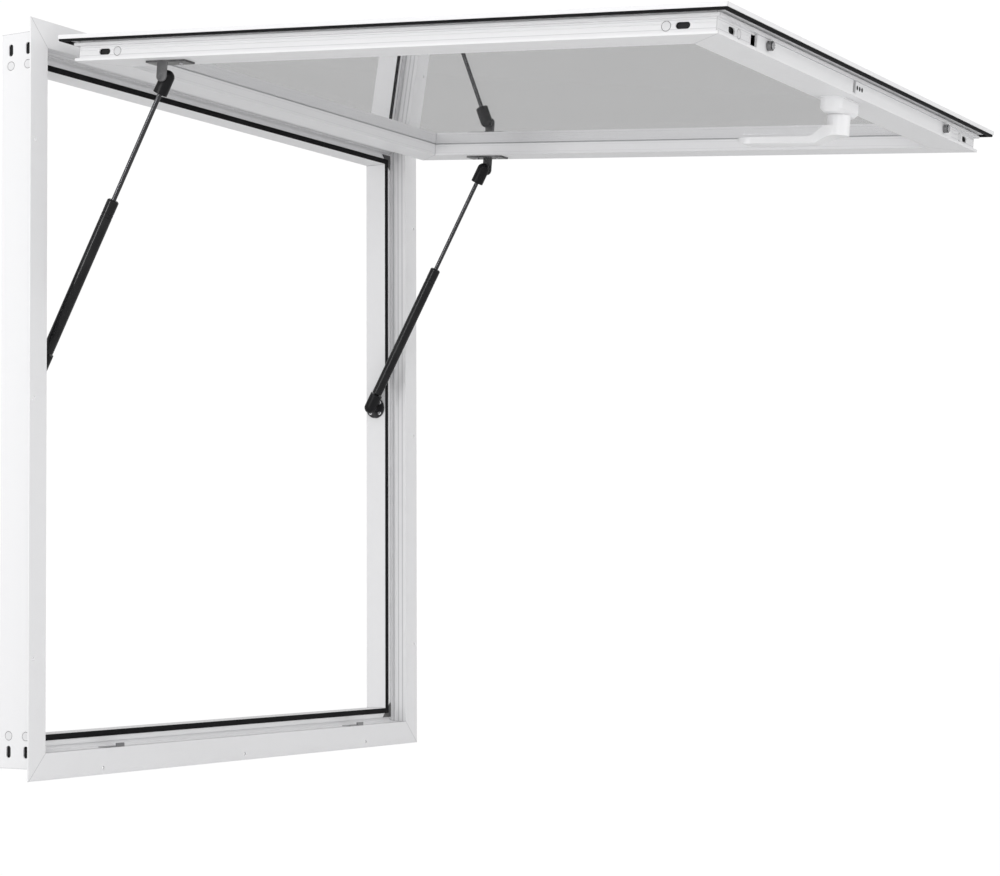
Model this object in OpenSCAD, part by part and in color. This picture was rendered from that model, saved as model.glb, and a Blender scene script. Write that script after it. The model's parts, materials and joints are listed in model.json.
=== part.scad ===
// Top-hung serving window. A fixed aluminium frame carries a glazed sash that swings up and out
// on four butt hinges. Two gas struts hold it up, and a lever handle slides a lock bar whose two
// rollers hook behind keepers on the sill.
//
// X runs along the width, +Y into the room and +Z up. The origin is the middle of the window, on
// the plane where the flange meets the wall. Lengths are in millimetres and angles in degrees.
// An inset is a distance from the flange's outer edge towards the middle of the window. The sash
// and all that it carries are drawn closed, and opened() then swings them out.

/* [Window] */
// Width over the flange
frame_w = 940; // [780:1:1400]
// Height over the flange
frame_h = 940; // [780:1:1400]
// Angle between the closed sash and the sash as drawn
open_angle = 85.4; // [0:0.1:88]

/* [Frame profile] */
// Width of the flange's face
flange_face = 33; // [31:0.5:38]
// Reach of the flange past the box, over the wall
flange_lip = 14; // [13:0.5:15]
// Thickness of the flange
flange_t = 2; // [1.5:0.1:3]
// Depth of the box behind the flange
frame_depth = 55; // [52:1:90]
// Depth of the rebate that the sash closes into
stop_depth = 22; // [21:0.5:24]
// Width of the stop that the sash closes against
stop_w = 21; // [20:0.5:24]
// Wall thickness of the frame profile
frame_wall = 1.8; // [1.4:0.1:2.2]

/* [Sash profile] */
// Inset of the lip that covers the flange
lip_inset = 25; // [24:0.5:26]
// Thickness of the lip
lip_t = 5; // [4:0.5:7]
// Gap between the closed lip and the flange, filled by the lip gasket
lip_gap = 3; // [2.5:0.1:4]
// Reach of the lip past the edge of the room-side face
lip_reach = 16; // [15:0.5:17]
// Width of the room-side face of a rail or stile
face_w = 36; // [34:0.5:50]
// Width of the glazing bead
bead_w = 14; // [12:0.5:18]
// Wall thickness of the sash profile
sash_wall = 1.8; // [1.4:0.1:2.2]

/* [Glass] */
// Thickness of the pane
glass_t = 5; // [4:0.5:6]
// Depth of the pane's room side below the sash's face
glass_depth = 16.6; // [16:0.1:17]

/* [Hinges] */
// Length of a hinge
hinge_len = 60; // [50:1:70]
// Distance of the hinge axis outside the lip's face
hinge_out = 5; // [4.8:0.1:5.5]
// Inset of the hinge axis from the flange's top edge
hinge_drop = 15.2; // [15:0.1:15.6]
// Places of the hinges along the head, from its middle
hinge_at = [-255, -85, 85, 255];

/* [Gas struts] */
// Inset of the struts' plane from the flange's side edges
strut_inset = 70; // [69:0.5:74]
// Height of the lower ball stud below the hinge axis
strut_low = 413; // [400:1:430]
// Depth of the lower ball stud in the frame
strut_low_y = 38.5; // [38:0.1:39]
// Distance of the upper ball stud below the hinge axis, when closed
strut_high = 148; // [140:1:156]
// Height of the upper ball stud off the sash's face
strut_stand = 19; // [18:0.5:21]
// Diameter of the tube
tube_d = 15; // [14:0.5:16]
// Diameter of the piston rod
rod_d = 6; // [5:0.5:8]
// Distance from the lower ball stud to the top of the tube
tube_top = 234; // [225:1:236]

/* [Handle and lock] */
// Inset of the handle's axis from the flange's bottom edge
handle_inset = 70; // [70:0.5:71]
// Length of the lever, from its axis to its tip
lever_len = 128; // [100:1:140]
// Width of the lever's paddle
lever_w = 24; // [20:1:28]
// Diameter of the lever's neck
neck_d = 28; // [24:1:30]
// Distance from the handle to each roller
roller_half = 294.5; // [250:0.5:320]
// Number of teeth that the drive gear's full circle would have
gear_teeth = 16; // [16]
// Travel of the lock bar in a quarter turn
lock_travel = 15; // [14.5:0.1:15.2]

/* [Hidden] */

$fn = 48;
E = 0.5; // how far a cut runs past the surface that it opens
BIG = 3000;

WHITE = [0.93, 0.93, 0.94];
BLACK = [0.06, 0.06, 0.06];
STEEL = [0.72, 0.72, 0.74];
ZINC = [0.45, 0.45, 0.47];

seal_gap = 0.3; // between a gasket and what it closes on, as drawn
run_gap = 0.05; // radial clearance of a shaft in its bearing
move_gap = 0.3; // between pieces that pass each other

// Depths, along Y
gasket_h = 1.7;
y_flange = -flange_t;
y_lip_in = y_flange - lip_gap;
y_lip_out = y_lip_in - lip_t;
y_sash = stop_depth - gasket_h - seal_gap;
y_glass_in = y_sash - glass_depth;
y_glass_out = y_glass_in - glass_t;

// Insets
i_leg = flange_face + stop_w;
i_sash = lip_inset + lip_reach;
i_side = i_sash + 4;
i_face = i_sash + face_w;
i_sight = i_face + bead_w;
i_glass = i_face + 3;
ledge_t = 3.4; // thickness of the room-side edge of the sash
fin_y = [y_lip_in + 3, y_lip_in + 6.5];
fin_reach = 5.5;

// Frame profile details
groove_d = 3;
gasket_w = 7.5;
tongue_w = 2.5;
tongue_d = 2;
lip_gasket_at = 2.5; // from the lip's edge to the gasket's tongue
lip_gasket_w = 5.5;

// Corner features: slots for the corner keys' clamps, and round plugs
frame_slot = [15, 6.8];
sash_slot = [17, 7.5];
plug_r = 5.6;
plug_gap = 0.1;
frame_slot_at = 34.6;
frame_plug_at = 54.2;
frame_slot_y = [14, 41];
sash_slot_at = 84;
sash_plug_at = 103.5;
side_y = (fin_y[1] + y_sash - ledge_t) / 2;
key_gap = 1.2;
key_t = 13;
key_leg = 72;

// Mounting holes in the flange
mount_hole_r = 2.25;
mount_hole_inset = 8.5;
mount_pitch_w = frame_w * 0.68;
mount_pitch_h = frame_h * 0.68;

// Hinge axis and leaves
axis_y = y_lip_out - hinge_out;
axis_z = frame_h / 2 - hinge_drop;
leaf_t = 2.5;
knuckle_r = 4;
hinge_pin_r = 2;
knuckle_share = 1 / 3;
leaf_screw_x = 21;
frame_leaf_inset = [2, 23];
frame_leaf_screw = 20;
sash_leaf_end = i_side + 8;
sash_leaf_screw = i_side + 4;

// Countersunk screws: head radius, shank radius, head depth
leaf_screw = [2.8, 1.6, 1.6];
small_screw = [2.8, 1.3, 1.2];
keeper_screw = [2.4, 1.2, 0.9];
cross_w = 0.7;

// Gas struts
strut_x = frame_w / 2 - strut_inset;
low_z = axis_z - strut_low;
high_y = y_sash + strut_stand;
high_z = axis_z - strut_high;
socket_r = 9;
socket_len = 22;
socket_flat = 8;
ball_r = 5;
stud_r = 3;
tube_wall = 1.3;
tube_start = socket_len + 2;
cap_len = 23;
piston_len = 8;
bracket_t = 2.5;
upper_plate = [22, 64];
upper_plate_shift = 4.5;
upper_screw_x = 16;
tab_w = 14;
lower_plate_r = 15.4;
lower_screw_r = 11.2;
pan_screw = [3, 1.5, 1.4];

// Handle, drive gear and lock bar
handle_z = -frame_h / 2 + handle_inset;
rose = [76, 28];
rose_h = 18;
rose_chamfer = 4.6;
rose_wall = 2;
rose_collar = [1.4, 1.6]; // its reach past the rose, and its height
base_plate = [62, 20];
base_t = 3;
base_screw_x = 22;
neck_top = y_sash + rose_h + move_gap;
neck_end = y_sash + 43;
spigot_r = 9;
spindle_w = 6;
spindle_hole_r = 4.8;
paddle_y = y_sash + 54;
gear_pitch_r = lock_travel / (PI / 2);
tooth_pitch = 2 * PI * gear_pitch_r / gear_teeth;
tooth_tip = 1.1;
tooth_root = 1.4;
gear_t = 6;
gear_hub_r = 4.8;
bar_t = 3;
bar_gap = 0.3;
bar_lift = 0.3; // between the bar's back and the rail
bar_half = roller_half + 30;
bar_y = [fin_y[1] + bar_gap, y_sash - ledge_t - bar_gap];
bar_split = [-33, -24.5];
rack_x = [-46, -23, 7.5];
rack_y = [side_y - 5.6, side_y + 5.6];
i_bar = i_side - bar_lift - bar_t;
i_rack = handle_inset - gear_pitch_r - tooth_root;
rack_screws = [-19.5, -11.5, -3.5];
pin_r = 2.5;
pin_head_r = 4;
roller_r = 5.5;
i_pin_tip = flange_face + 1.5;
roller_gap = 0.4;

// Keepers, placed from the roller that each one catches
keeper_x = [-14, 23];
keeper_t = 1;
keeper_y = [1, 15];
catch_x = [7, 23];
catch_t = 2.1;
catch_h = 5;
keeper_screw_x = [-9.5, 14];

// ---------------------------------------------------------------- general shapes

function opened_yz(y, z) = let (dy = y - axis_y, dz = z - axis_z)
    [axis_y + dy * cos(open_angle) + dz * sin(open_angle),
     axis_z - dy * sin(open_angle) + dz * cos(open_angle)];

// Smooth step from 0 to 1
function ease(t) = let (u = min(max(t, 0), 1)) u * u * (3 - 2 * u);

module opened() {
    translate([0, axis_y, axis_z]) rotate([-open_angle, 0, 0]) translate([0, -axis_y, -axis_z])
        children();
}

module span(x, y, z) {
    translate([x[0], y[0], z[0]]) cube([x[1] - x[0], y[1] - y[0], z[1] - z[0]]);
}

module rod_x(r, x) {
    translate([x[0], 0, 0]) rotate([0, 90, 0]) cylinder(h = x[1] - x[0], r = r);
}

module rod_y(r, y) {
    translate([0, y[0], 0]) rotate([-90, 0, 0]) cylinder(h = y[1] - y[0], r = r);
}

module rod_z(r, z) {
    translate([0, 0, z[0]]) cylinder(h = z[1] - z[0], r = r);
}

// Flat shape with round ends, its length along X
module stadium(size) {
    square([size[0] - size[1], size[1]], center = true);
    for (x = [-1, 1]) translate([x * (size[0] - size[1]) / 2, 0]) circle(d = size[1]);
}

// Countersunk screw: its head's face is at the origin and its shank points along -Z
module countersunk(size, length) {
    difference() {
        union() {
            translate([0, 0, -size[2]]) cylinder(h = size[2], r1 = size[1], r2 = size[0]);
            rod_z(size[1], [-length, -size[2]]);
        }
        cross_recess(size[0] * 1.2, size[2] * 0.6);
    }
}

// The hole that a countersunk screw fills, open at its head
module countersink(size, length) {
    translate([0, 0, -size[2]]) cylinder(h = size[2], r1 = size[1], r2 = size[0]);
    rod_z(size[1], [-length, -size[2]]);
    rod_z(size[0], [0, E]);
}

// Pan-head screw: its head stands on the origin and its shank points along -Z
module pan_head(size, length) {
    difference() {
        union() {
            cylinder(h = size[2], r1 = size[0], r2 = size[0] * 0.72);
            rod_z(size[1], [-length, 0]);
        }
        translate([0, 0, size[2]]) cross_recess(size[0], size[2] * 0.6);
    }
}

module cross_recess(length, depth) {
    for (turn = [0, 90])
        rotate([0, 0, turn])
            span([-length / 2, length / 2], [-cross_w / 2, cross_w / 2], [-depth, E]);
}

// Side 0 is the bottom, 1 the left, 2 the top and 3 the right, each drawn as the bottom is
function side_len(side) = side % 2 == 0 ? frame_w : frame_h;
function side_half(side) = side % 2 == 0 ? frame_h / 2 : frame_w / 2;

module on_side(side) {
    rotate([0, 90 * side, 0]) children();
}

// A length of the profile that its child draws as (inset, Y), with mitred ends
module mitred(side, inset_max) {
    length = side_len(side);
    half = side_half(side);
    intersection() {
        translate([length / 2, 0, -half]) rotate([0, -90, 0]) linear_extrude(length) children();
        translate([0, BIG / 2, 0]) rotate([90, 0, 0]) linear_extrude(BIG)
            polygon([
                [-length / 2, -half], [length / 2, -half],
                [length / 2 - inset_max, -half + inset_max],
                [-length / 2 + inset_max, -half + inset_max]
            ]);
    }
}

// Moves a shape drawn at an inset of 0 on a side to the given inset
module at_inset(side, inset) {
    translate([0, 0, -side_half(side) + inset]) children();
}

module at_corners() {
    for (flip_x = [0, 1], flip_z = [0, 1])
        mirror([flip_x, 0, 0]) mirror([0, 0, flip_z])
            translate([-frame_w / 2, 0, -frame_h / 2]) children();
}

// An L whose outer sides lie at the inset, drawn in the plane of the window
module corner_key(inset, leg, thick, y) {
    translate([0, y[1], 0]) rotate([90, 0, 0]) linear_extrude(y[1] - y[0])
        polygon([
            [inset, inset], [inset + leg, inset], [inset + leg, inset + thick],
            [inset + thick, inset + thick], [inset + thick, inset + leg], [inset, inset + leg]
        ]);
}

// Slot and plug hole near both ends of a side's outer wall
module corner_cuts(side, inset, wall, slot, slot_at, plug_at, y_list) {
    at_inset(side, inset)
        for (end = [-1, 1], y = y_list) {
            translate([end * (side_len(side) / 2 - slot_at), y, -E])
                linear_extrude(wall + 2 * E) stadium(slot);
            translate([end * (side_len(side) / 2 - plug_at), y, 0])
                rod_z(plug_r + plug_gap, [-E, wall + E]);
        }
}

module corner_plugs(inset, depth, plug_at, y_list) {
    for (side = [0:3])
        on_side(side) at_inset(side, inset)
            for (end = [-1, 1], y = y_list)
                translate([end * (side_len(side) / 2 - plug_at), y, 0]) rod_z(plug_r, [0, depth]);
}

// ---------------------------------------------------------------- frame

module frame_profile() {
    ridge = [stop_depth - 6, stop_depth - 1.5];
    difference() {
        polygon([
            [0, y_flange], [flange_face, y_flange],
            [flange_face, ridge[0]], [flange_face + 1, ridge[0] + 0.8],
            [flange_face + 1, ridge[1] - 0.8], [flange_face, ridge[1]],
            [flange_face, stop_depth], [flange_face + 2, stop_depth],
            [flange_face + 2, stop_depth + groove_d], [flange_face + 7, stop_depth + groove_d],
            [flange_face + 7, stop_depth], [i_leg, stop_depth],
            [i_leg, frame_depth], [flange_lip, frame_depth],
            [flange_lip, 0], [0, 0]
        ]);
        polygon([
            [flange_lip + frame_wall, 0], [flange_face - frame_wall, 0],
            [flange_face - frame_wall, stop_depth + groove_d + frame_wall],
            [i_leg - frame_wall, stop_depth + groove_d + frame_wall],
            [i_leg - frame_wall, frame_depth - frame_wall],
            [flange_lip + frame_wall, frame_depth - frame_wall]
        ]);
        translate([i_leg - 2 - tongue_w, stop_depth - E]) square([tongue_w, tongue_d + E]);
    }
}

module frame_side(side) {
    color(WHITE) on_side(side) difference() {
        mitred(side, i_leg + E) frame_profile();
        corner_cuts(side, flange_lip, frame_wall, frame_slot, frame_slot_at, frame_plug_at,
            frame_slot_y);
        at_inset(side, mount_hole_inset)
            for (x = [-1, 0, 1])
                translate([x * (side % 2 == 0 ? mount_pitch_w : mount_pitch_h) / 2, 0, 0])
                    rod_y(mount_hole_r, [y_flange - E, E]);
    }
}

module frame_head() {
    difference() {
        frame_side(2);
        hinge_frame_screw_places() countersink(leaf_screw, 8);
    }
}

module frame_sill() {
    difference() {
        frame_side(0);
        keeper_screw_places() countersink(keeper_screw, 7);
    }
}

module frame_jamb_left() {
    difference() {
        frame_side(1);
        lower_screw_places(-1) rod_z(pan_screw[1], [-8, E]);
    }
}

module frame_jamb_right() {
    difference() {
        frame_side(3);
        lower_screw_places(1) rod_z(pan_screw[1], [-8, E]);
    }
}

module frame_corner_keys() {
    inset = flange_lip + frame_wall + key_gap;
    color(STEEL) at_corners() corner_key(inset, key_leg, key_t, [4, 50]);
}

module frame_corner_plugs() {
    color(ZINC) corner_plugs(flange_lip, frame_wall + key_gap, frame_plug_at, frame_slot_y);
}

module frame_gasket_profile() {
    y = stop_depth - gasket_h;
    polygon([
        [i_leg - gasket_w, stop_depth], [i_leg - gasket_w, y + 0.8],
        [i_leg - gasket_w + 0.8, y], [i_leg - 0.8, y], [i_leg, y + 0.8], [i_leg, stop_depth],
        [i_leg - 2, stop_depth], [i_leg - 2, stop_depth + tongue_d],
        [i_leg - 2 - tongue_w, stop_depth + tongue_d], [i_leg - 2 - tongue_w, stop_depth]
    ]);
}

module frame_gasket() {
    color(BLACK)
        for (side = [0:3])
            on_side(side) mitred(side, i_leg + E) frame_gasket_profile();
}

// Black corner pieces that back up the gasket's mitres
module rebate_corner_pads() {
    outer = flange_face + 7.3;
    inner = i_leg - gasket_w;
    long = i_leg + 8;
    slant = inner - outer;
    color(BLACK) at_corners()
        translate([0, stop_depth, 0]) rotate([90, 0, 0]) linear_extrude(gasket_h)
            polygon([
                [outer, outer], [long, outer], [long - slant, inner], [inner, inner],
                [inner, long - slant], [outer, long]
            ]);
}

// ---------------------------------------------------------------- keepers

module at_keeper(hand) {
    translate([hand * roller_half, 0, 0]) at_inset(0, flange_face) children();
}

module keeper_screw_places() {
    for (hand = [-1, 1])
        at_keeper(hand)
            for (x = keeper_screw_x)
                translate([x, (keeper_y[0] + keeper_y[1]) / 2 + 1, keeper_t]) children();
}

module keeper(hand) {
    color(STEEL) difference() {
        at_keeper(hand) {
            span(keeper_x, keeper_y, [0, keeper_t]);
            span(catch_x, [keeper_y[0], keeper_y[0] + catch_t], [0, catch_h]);
        }
        keeper_screw_places() countersink(keeper_screw, 7);
    }
}

module keeper_left() { keeper(-1); }
module keeper_right() { keeper(1); }

module keeper_screws() {
    color(STEEL) keeper_screw_places() countersunk(keeper_screw, 7);
}

// ---------------------------------------------------------------- hinges

module hinge_frame_screw_places() {
    for (x = hinge_at, side = [-1, 1])
        translate([x + side * leaf_screw_x, y_flange - leaf_t, frame_h / 2 - frame_leaf_screw])
            rotate([90, 0, 0]) children();
}

module hinge_sash_screw_places() {
    for (x = hinge_at, side = [-1, 1])
        translate([x + side * leaf_screw_x, y_lip_out - leaf_t, frame_h / 2 - sash_leaf_screw])
            rotate([90, 0, 0]) children();
}

// The stretches of a hinge that belong to the frame's leaf, and the one of the sash's leaf
function outer_knuckles() = let (cut = hinge_len * knuckle_share / 2, end = hinge_len / 2)
    [[-end, -cut], [cut, end]];
function inner_knuckle() = let (cut = hinge_len * knuckle_share / 2 - move_gap) [-cut, cut];

module hinge_frame_leaves() {
    top = frame_h / 2;
    color(WHITE) difference() {
        for (x = hinge_at) translate([x, 0, 0]) {
            span([-hinge_len / 2, hinge_len / 2], [y_flange - leaf_t, y_flange],
                [top - frame_leaf_inset[1], top - frame_leaf_inset[0]]);
            for (k = outer_knuckles()) {
                span(k, [axis_y, y_flange - leaf_t], [axis_z - leaf_t / 2, axis_z + leaf_t / 2]);
                translate([0, axis_y, axis_z]) rod_x(knuckle_r, k);
            }
        }
        for (x = hinge_at) translate([x, axis_y, axis_z])
            rod_x(hinge_pin_r, [-hinge_len / 2 - E, hinge_len / 2 + E]);
        hinge_frame_screw_places() countersink(leaf_screw, 8);
    }
}

module hinge_pins() {
    color(STEEL)
        for (x = hinge_at) translate([x, axis_y, axis_z])
            rod_x(hinge_pin_r, [-hinge_len / 2, hinge_len / 2]);
}

module hinge_frame_screws() {
    color(STEEL) hinge_frame_screw_places() countersunk(leaf_screw, 8);
}

module hinge_sash_leaves() {
    top = frame_h / 2;
    k = inner_knuckle();
    color(WHITE) opened() difference() {
        for (x = hinge_at) translate([x, 0, 0]) {
            span([-hinge_len / 2, hinge_len / 2], [y_lip_out - leaf_t, y_lip_out],
                [top - sash_leaf_end, top - lip_inset - 1]);
            span(k, [y_lip_out - leaf_t, y_lip_out], [top - lip_inset - 2, axis_z]);
            translate([0, axis_y, axis_z]) rod_x(knuckle_r, k);
        }
        for (x = hinge_at) translate([x, axis_y, axis_z])
            rod_x(hinge_pin_r + run_gap, [-hinge_len / 2, hinge_len / 2]);
        hinge_sash_screw_places() countersink(leaf_screw, 8);
    }
}

module hinge_sash_screws() {
    color(STEEL) opened() hinge_sash_screw_places() countersunk(leaf_screw, 8);
}

// ---------------------------------------------------------------- sash

module sash_profile() {
    line_y = y_lip_in + 12;
    tongue_at = lip_inset + lip_gasket_at;
    difference() {
        polygon([
            [lip_inset, y_lip_out], [i_sight, y_lip_out], [i_sight, y_lip_in],
            [i_face, y_lip_in], [i_face, y_sash], [i_sash, y_sash],
            [i_sash, y_sash - ledge_t], [i_side, y_sash - ledge_t],
            [i_side, line_y + 0.4], [i_side + 0.4, line_y], [i_side, line_y - 0.4],
            [i_side, fin_y[1]], [i_side - fin_reach, fin_y[1]],
            [i_side - fin_reach, fin_y[0]], [i_side, fin_y[0]],
            [i_side, y_lip_in], [lip_inset, y_lip_in]
        ]);
        polygon([
            [i_side + sash_wall, y_lip_out + sash_wall], [i_face - sash_wall, y_lip_out + sash_wall],
            [i_face - sash_wall, y_sash - sash_wall], [i_side + sash_wall, y_sash - sash_wall]
        ]);
        translate([tongue_at, y_lip_in - tongue_d]) square([tongue_w, tongue_d + E]);
    }
}

module sash_side(side) {
    on_side(side) difference() {
        mitred(side, i_sight + E) sash_profile();
        corner_cuts(side, i_side, sash_wall, sash_slot, sash_slot_at, sash_plug_at, [side_y]);
    }
}

module sash_top_rail() {
    color(WHITE) opened() difference() {
        sash_side(2);
        hinge_sash_screw_places() countersink(leaf_screw, 8);
    }
}

module sash_bottom_rail() {
    color(WHITE) opened() difference() {
        sash_side(0);
        at_handle() rod_y(spindle_hole_r, [y_sash - sash_wall - E, y_sash + E]);
        base_screw_places() rod_z(pan_screw[1], [-8, E]);
        at_inset(0, i_side)
            span([rack_x[0] - 2, rack_x[2] + lock_travel + 1.5],
                [rack_y[0] - move_gap, rack_y[1] + move_gap], [-E, sash_wall + E]);
        at_inset(0, i_side)
            span([-bar_half - 10, -bar_half + 6], [bar_y[0] + 1, bar_y[1] - 1],
                [-E, sash_wall + E]);
    }
}

module sash_stile_left() {
    color(WHITE) opened() difference() {
        sash_side(1);
        upper_screw_places(-1) rod_z(pan_screw[1], [-8, E]);
    }
}

module sash_stile_right() {
    color(WHITE) opened() difference() {
        sash_side(3);
        upper_screw_places(1) rod_z(pan_screw[1], [-8, E]);
    }
}

module sash_corner_keys() {
    inset = i_side + sash_wall + key_gap;
    color(STEEL) opened() at_corners()
        corner_key(inset, key_leg, key_t, [y_lip_out + 4, y_sash - 4]);
}

module sash_corner_plugs() {
    color(ZINC) opened()
        corner_plugs(i_side, sash_wall + key_gap, sash_plug_at, [side_y]);
}

module sash_lip_gasket() {
    tongue_at = lip_inset + lip_gasket_at;
    y = y_flange - seal_gap;
    color(BLACK) opened()
        for (side = [0:3])
            on_side(side) mitred(side, i_sight) polygon([
                [lip_inset + 1, y_lip_in], [lip_inset + 1, y - 0.6], [lip_inset + 1.6, y],
                [lip_inset + lip_gasket_w + 0.4, y], [lip_inset + lip_gasket_w + 1, y - 0.6],
                [lip_inset + lip_gasket_w + 1, y_lip_in],
                [tongue_at + tongue_w, y_lip_in], [tongue_at + tongue_w, y_lip_in - tongue_d],
                [tongue_at, y_lip_in - tongue_d], [tongue_at, y_lip_in]
            ]);
}

module glass_pane() {
    x = frame_w / 2 - i_glass;
    z = frame_h / 2 - i_glass;
    color([0.6, 0.66, 0.68, 0.5]) opened() span([-x, x], [y_glass_out, y_glass_in], [-z, z]);
}

module glazing_beads() {
    foot = y_glass_in + 0.8;
    web = y_glass_in + 3;
    wall = 1.6;
    color(WHITE) opened()
        for (side = [0:3])
            on_side(side) mitred(side, i_sight + E) difference() {
                polygon([
                    [i_face, y_sash], [i_sight, y_sash], [i_sight, foot], [i_sight - wall, foot],
                    [i_sight - wall, web], [i_face, web]
                ]);
                translate([i_face + wall, web + wall])
                    square([bead_w - 2 * wall, y_sash - web - 2 * wall]);
            }
}

module glazing_seal_outer() {
    color(BLACK) opened()
        for (side = [0:3])
            on_side(side) mitred(side, i_sight + E)
                translate([i_sight - 8, y_lip_in]) square([7, y_glass_out - y_lip_in]);
}

module glazing_seal_inner() {
    color(BLACK) opened()
        for (side = [0:3])
            on_side(side) mitred(side, i_sight + E)
                translate([i_sight - 8, y_glass_in]) square([6.4, 3]);
}

module setting_blocks() {
    z = -frame_h / 2;
    color(BLACK) opened()
        for (x = [-1, 1]) translate([x * frame_w / 5, 0, z])
            span([-30, 30], [y_glass_out + 0.3, y_glass_in - 0.3], [i_face, i_glass]);
}

// ---------------------------------------------------------------- handle and lock

module at_handle() {
    translate([0, 0, handle_z]) children();
}

module base_screw_places() {
    for (x = [-1, 1])
        translate([x * base_screw_x, y_sash + base_t, handle_z]) rotate([-90, 0, 0]) children();
}

// A block with round ends that stands on Y, its top edge bevelled
module bevelled_stadium(size, y, bevel) {
    end = (size[0] - size[1]) / 2;
    r = size[1] / 2;
    section = [[0, y[0]], [r, y[0]], [r, y[1] - bevel], [r - bevel, y[1]], [0, y[1]]];
    for (x = [-1, 1])
        translate([x * end, 0, 0]) rotate([-90, 0, 0]) rotate_extrude() polygon(section);
    translate([-end, 0, 0]) rotate([90, 0, 90]) linear_extrude(2 * end) {
        polygon([for (i = [4:-1:0]) [section[i][1], section[i][0]]]);
        polygon([for (p = section) [p[1], -p[0]]]);
    }
}

module handle_rose() {
    inner = [rose[0] - 2 * rose_wall, rose[1] - 2 * rose_wall];
    color(WHITE) opened() at_handle() difference() {
        union() {
            bevelled_stadium(rose, [y_sash, y_sash + rose_h], rose_chamfer);
            translate([0, y_sash, 0]) rotate([-90, 0, 0]) linear_extrude(rose_collar[1])
                stadium([rose[0] + 2 * rose_collar[0], rose[1] + 2 * rose_collar[0]]);
        }
        bevelled_stadium(inner, [y_sash - E, y_sash + rose_h - rose_wall], rose_chamfer);
        rod_y(spigot_r + run_gap, [y_sash, y_sash + rose_h + E]);
    }
}

module handle_base_plate() {
    color(STEEL) opened() difference() {
        at_handle() translate([0, y_sash, 0]) rotate([-90, 0, 0]) linear_extrude(base_t)
            difference() {
                stadium(base_plate);
                circle(r = spindle_hole_r);
            }
        base_screw_places() countersink(leaf_screw, 8);
    }
}

module handle_base_screws() {
    color(STEEL) opened() base_screw_places()
        countersunk([leaf_screw[0], pan_screw[1], leaf_screw[2]], 8);
}

// Height over the window's plane of the lever's side towards the glass, and of its outer side,
// at a distance along the lever
function lever_back(d) = y_sash + 31 + 13 * ease((d - neck_d * 0.4) / 22);
function lever_front(d) = let (rise = 43 + 11 * ease(d / 34), drop = max(0, d - lever_len + 30))
    y_sash + rise - drop * drop * 0.0075;
function lever_half(d) = let (full = lever_w / 2, waist = neck_d / 2 - 3 * ease(d / 26),
    shape = waist + (full - waist) * ease((d - 26) / 30), tip = max(0, d - lever_len + 26) / 26)
    shape * sqrt(max(0, 1 - pow(tip, 2.6)));

module handle_lever() {
    steps = [for (i = [0:36]) lever_len * i / 36];
    back_first = [for (d = steps) [d, lever_back(d)]];
    front_last = [for (i = [36:-1:0]) [steps[i], lever_front(steps[i])]];
    right_side = [for (d = steps) [lever_half(d), d]];
    left_side = [for (i = [36:-1:0]) if (lever_half(steps[i]) > 0) [-lever_half(steps[i]), steps[i]]];
    crown = 3;
    crown_r = (pow(lever_w / 2, 2) + crown * crown) / (2 * crown);
    color(WHITE) opened() at_handle() difference() {
        union() {
            rod_y(neck_d / 2, [neck_top, neck_end]);
            rod_y(spigot_r, [y_sash + base_t + move_gap, neck_top]);
            intersection() {
                rotate([0, -90, 0]) translate([0, 0, -lever_w])
                    linear_extrude(2 * lever_w) polygon(concat(back_first, front_last));
                translate([0, paddle_y + E, 0]) rotate([90, 0, 0])
                    linear_extrude(paddle_y - y_sash) polygon(concat(right_side, left_side));
                translate([0, paddle_y - crown_r, -neck_d])
                    cylinder(h = lever_len * 2, r = crown_r, $fn = 96);
            }
        }
        spindle_body(0);
    }
}

module spindle_body(gap) {
    w = spindle_w / 2 + gap;
    span([-w, w], [side_y - gear_t / 2, y_sash + 34], [-w, w]);
}

module handle_spindle() {
    color(STEEL) opened() at_handle() spindle_body(0);
}

// Half the width of a tooth at a height over the pitch line
function tooth_half(h) = tooth_pitch * 0.21 - h * 0.36;

// A tooth on the pitch line, which lies at Y 0, with a root that reaches down by more
module tooth(more) {
    root = tooth_half(-tooth_root);
    tip = tooth_half(tooth_tip);
    polygon([
        [root, -tooth_root - more], [root, -tooth_root], [tip, tooth_tip],
        [-tip, tooth_tip], [-root, -tooth_root], [-root, -tooth_root - more]
    ]);
}

// Toothed quarter on a round hub. At rest its teeth reach from the rack round to its side.
module drive_gear() {
    step = 360 / gear_teeth;
    sector_r = gear_pitch_r - tooth_root;
    color(STEEL) opened() at_handle()
        translate([0, side_y - gear_t / 2, 0]) rotate([-90, 0, 0]) linear_extrude(gear_t)
            difference() {
                union() {
                    circle(r = gear_hub_r);
                    intersection() {
                        circle(r = sector_r);
                        polygon([[0, 0], [5, 12], [-14, 12], [-14, -4.5]]);
                    }
                    for (k = [-1:4])
                        rotate([0, 0, k * step]) translate([0, gear_pitch_r]) tooth(1);
                }
                square(spindle_w, center = true);
            }
}

module lock_bar(x) {
    at_inset(0, i_bar) span(x, bar_y, [0, bar_t]);
}

module lock_bar_screw_places() {
    for (x = rack_screws)
        translate([x, side_y, 0]) at_inset(0, i_bar) rotate([180, 0, 0]) children();
}

module at_roller(hand) {
    translate([hand * roller_half, side_y, 0]) at_inset(0, 0) children();
}

module lock_bar_cuts() {
    lock_bar_screw_places() countersink(small_screw, 7);
    for (hand = [-1, 1]) at_roller(hand) rod_z(pin_r, [i_bar - E, i_side + E]);
}

module lock_bar_left() {
    color(WHITE) opened() difference() {
        lock_bar([-bar_half, bar_split[0]]);
        lock_bar_cuts();
    }
}

module lock_bar_right() {
    color(WHITE) opened() difference() {
        lock_bar([bar_split[1], bar_half]);
        lock_bar_cuts();
    }
}

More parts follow.
